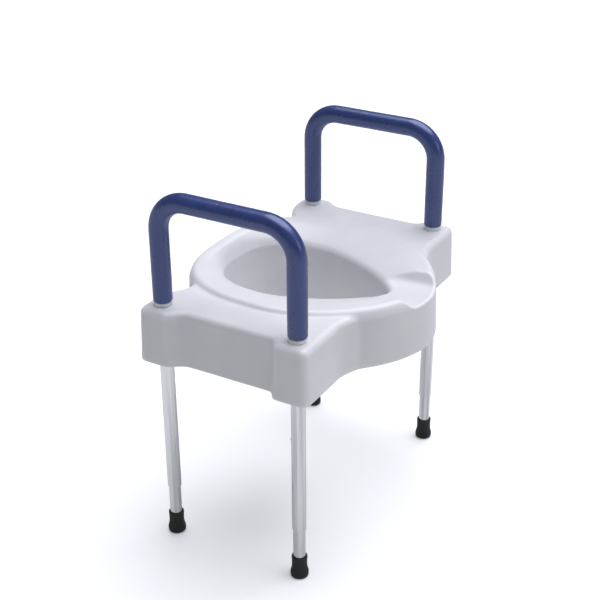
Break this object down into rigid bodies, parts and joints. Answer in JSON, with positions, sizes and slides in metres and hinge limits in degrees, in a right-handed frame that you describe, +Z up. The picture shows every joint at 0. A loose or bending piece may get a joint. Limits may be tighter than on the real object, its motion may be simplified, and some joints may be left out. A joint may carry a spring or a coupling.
{
  "type": "raised toilet seat",
  "caption": "Raised toilet seat on telescopic legs: a wide moulded seat body with a contoured oval ring, front hygiene dip and splash lip, foam-covered U-shaped armrests and rubber-tipped feet.",
  "frame": {"origin": "on the floor, under the centre of the seat ring and of the whole object's plan", "axes": "+Z up, the seated user faces -Y, +X is the user's left"},
  "size_m": [0.5956, 0.454, 0.6947],
  "materials": {
    "shell": "satin blow-moulded polyethylene",
    "foam": "closed-cell foam with a satin skin",
    "alloy": "clear anodised drawn tube",
    "collar": "moulded nylon",
    "rubber": "matt moulded rubber",
    "steel": "zinc plated"
  },
  "bodies": {
    "seat": {"seat_shell": "shell", "leg_tube_front_left": "alloy", "leg_tube_rear_left": "alloy", "leg_tube_front_right": "alloy", "leg_tube_rear_right": "alloy"},
    "armrest_left": {"arm_tube_left": "alloy", "arm_foam_front_left": "foam", "arm_foam_rear_left": "foam", "arm_collar_front_left": "collar", "arm_collar_rear_left": "collar", "arm_lock_clip_front_left": "steel", "arm_lock_clip_rear_left": "steel"},
    "armrest_right": {"arm_tube_right": "alloy", "arm_foam_front_right": "foam", "arm_foam_rear_right": "foam", "arm_collar_front_right": "collar", "arm_collar_rear_right": "collar", "arm_lock_clip_front_right": "steel", "arm_lock_clip_rear_right": "steel"},
    "leg_front_left": {"leg_extension_front_left": "alloy", "leg_tip_front_left": "rubber", "tip_washer_front_left": "steel", "leg_button_spring_front_left": "steel"},
    "button_front_left": {"leg_button_front_left": "steel"},
    "leg_rear_left": {"leg_extension_rear_left": "alloy", "leg_tip_rear_left": "rubber", "tip_washer_rear_left": "steel", "leg_button_spring_rear_left": "steel"},
    "button_rear_left": {"leg_button_rear_left": "steel"},
    "leg_front_right": {"leg_extension_front_right": "alloy", "leg_tip_front_right": "rubber", "tip_washer_front_right": "steel", "leg_button_spring_front_right": "steel"},
    "button_front_right": {"leg_button_front_right": "steel"},
    "leg_rear_right": {"leg_extension_rear_right": "alloy", "leg_tip_rear_right": "rubber", "tip_washer_rear_right": "steel", "leg_button_spring_rear_right": "steel"},
    "button_rear_right": {"leg_button_rear_right": "steel"}
  },
  "joints": [
    {"name": "armrest_lift_left", "type": "slide", "parent": "seat", "child": "armrest_left", "axis": [0, 0, 1], "range_m": [0, 0.15], "deforming": ["arm_lock_clip_front_left", "arm_lock_clip_rear_left"]},
    {"name": "armrest_lift_right", "type": "slide", "parent": "seat", "child": "armrest_right", "axis": [0, 0, 1], "range_m": [0, 0.15], "deforming": ["arm_lock_clip_front_right", "arm_lock_clip_rear_right"]},
    {"name": "leg_height_front_left", "type": "slide", "parent": "seat", "child": "leg_front_left", "axis": [0, 0, -1], "range_m": [-0.0254, 0.0508]},
    {"name": "leg_button_press_front_left", "type": "slide", "parent": "leg_front_left", "child": "button_front_left", "axis": [0, -1, 0], "range_m": [0, 0.004], "stiffness_N_per_m": 800, "springref_m": -0.004, "deforming": ["leg_button_spring_front_left"]},
    {"name": "leg_height_rear_left", "type": "slide", "parent": "seat", "child": "leg_rear_left", "axis": [0, 0, -1], "range_m": [-0.0254, 0.0508]},
    {"name": "leg_button_press_rear_left", "type": "slide", "parent": "leg_rear_left", "child": "button_rear_left", "axis": [0, -1, 0], "range_m": [0, 0.004], "stiffness_N_per_m": 800, "springref_m": -0.004, "deforming": ["leg_button_spring_rear_left"]},
    {"name": "leg_height_front_right", "type": "slide", "parent": "seat", "child": "leg_front_right", "axis": [0, 0, -1], "range_m": [-0.0254, 0.0508]},
    {"name": "leg_button_press_front_right", "type": "slide", "parent": "leg_front_right", "child": "button_front_right", "axis": [0, -1, 0], "range_m": [0, 0.004], "stiffness_N_per_m": 800, "springref_m": -0.004, "deforming": ["leg_button_spring_front_right"]},
    {"name": "leg_height_rear_right", "type": "slide", "parent": "seat", "child": "leg_rear_right", "axis": [0, 0, -1], "range_m": [-0.0254, 0.0508]},
    {"name": "leg_button_press_rear_right", "type": "slide", "parent": "leg_rear_right", "child": "button_rear_right", "axis": [0, -1, 0], "range_m": [0, 0.004], "stiffness_N_per_m": 800, "springref_m": -0.004, "deforming": ["leg_button_spring_rear_right"]}
  ]
}
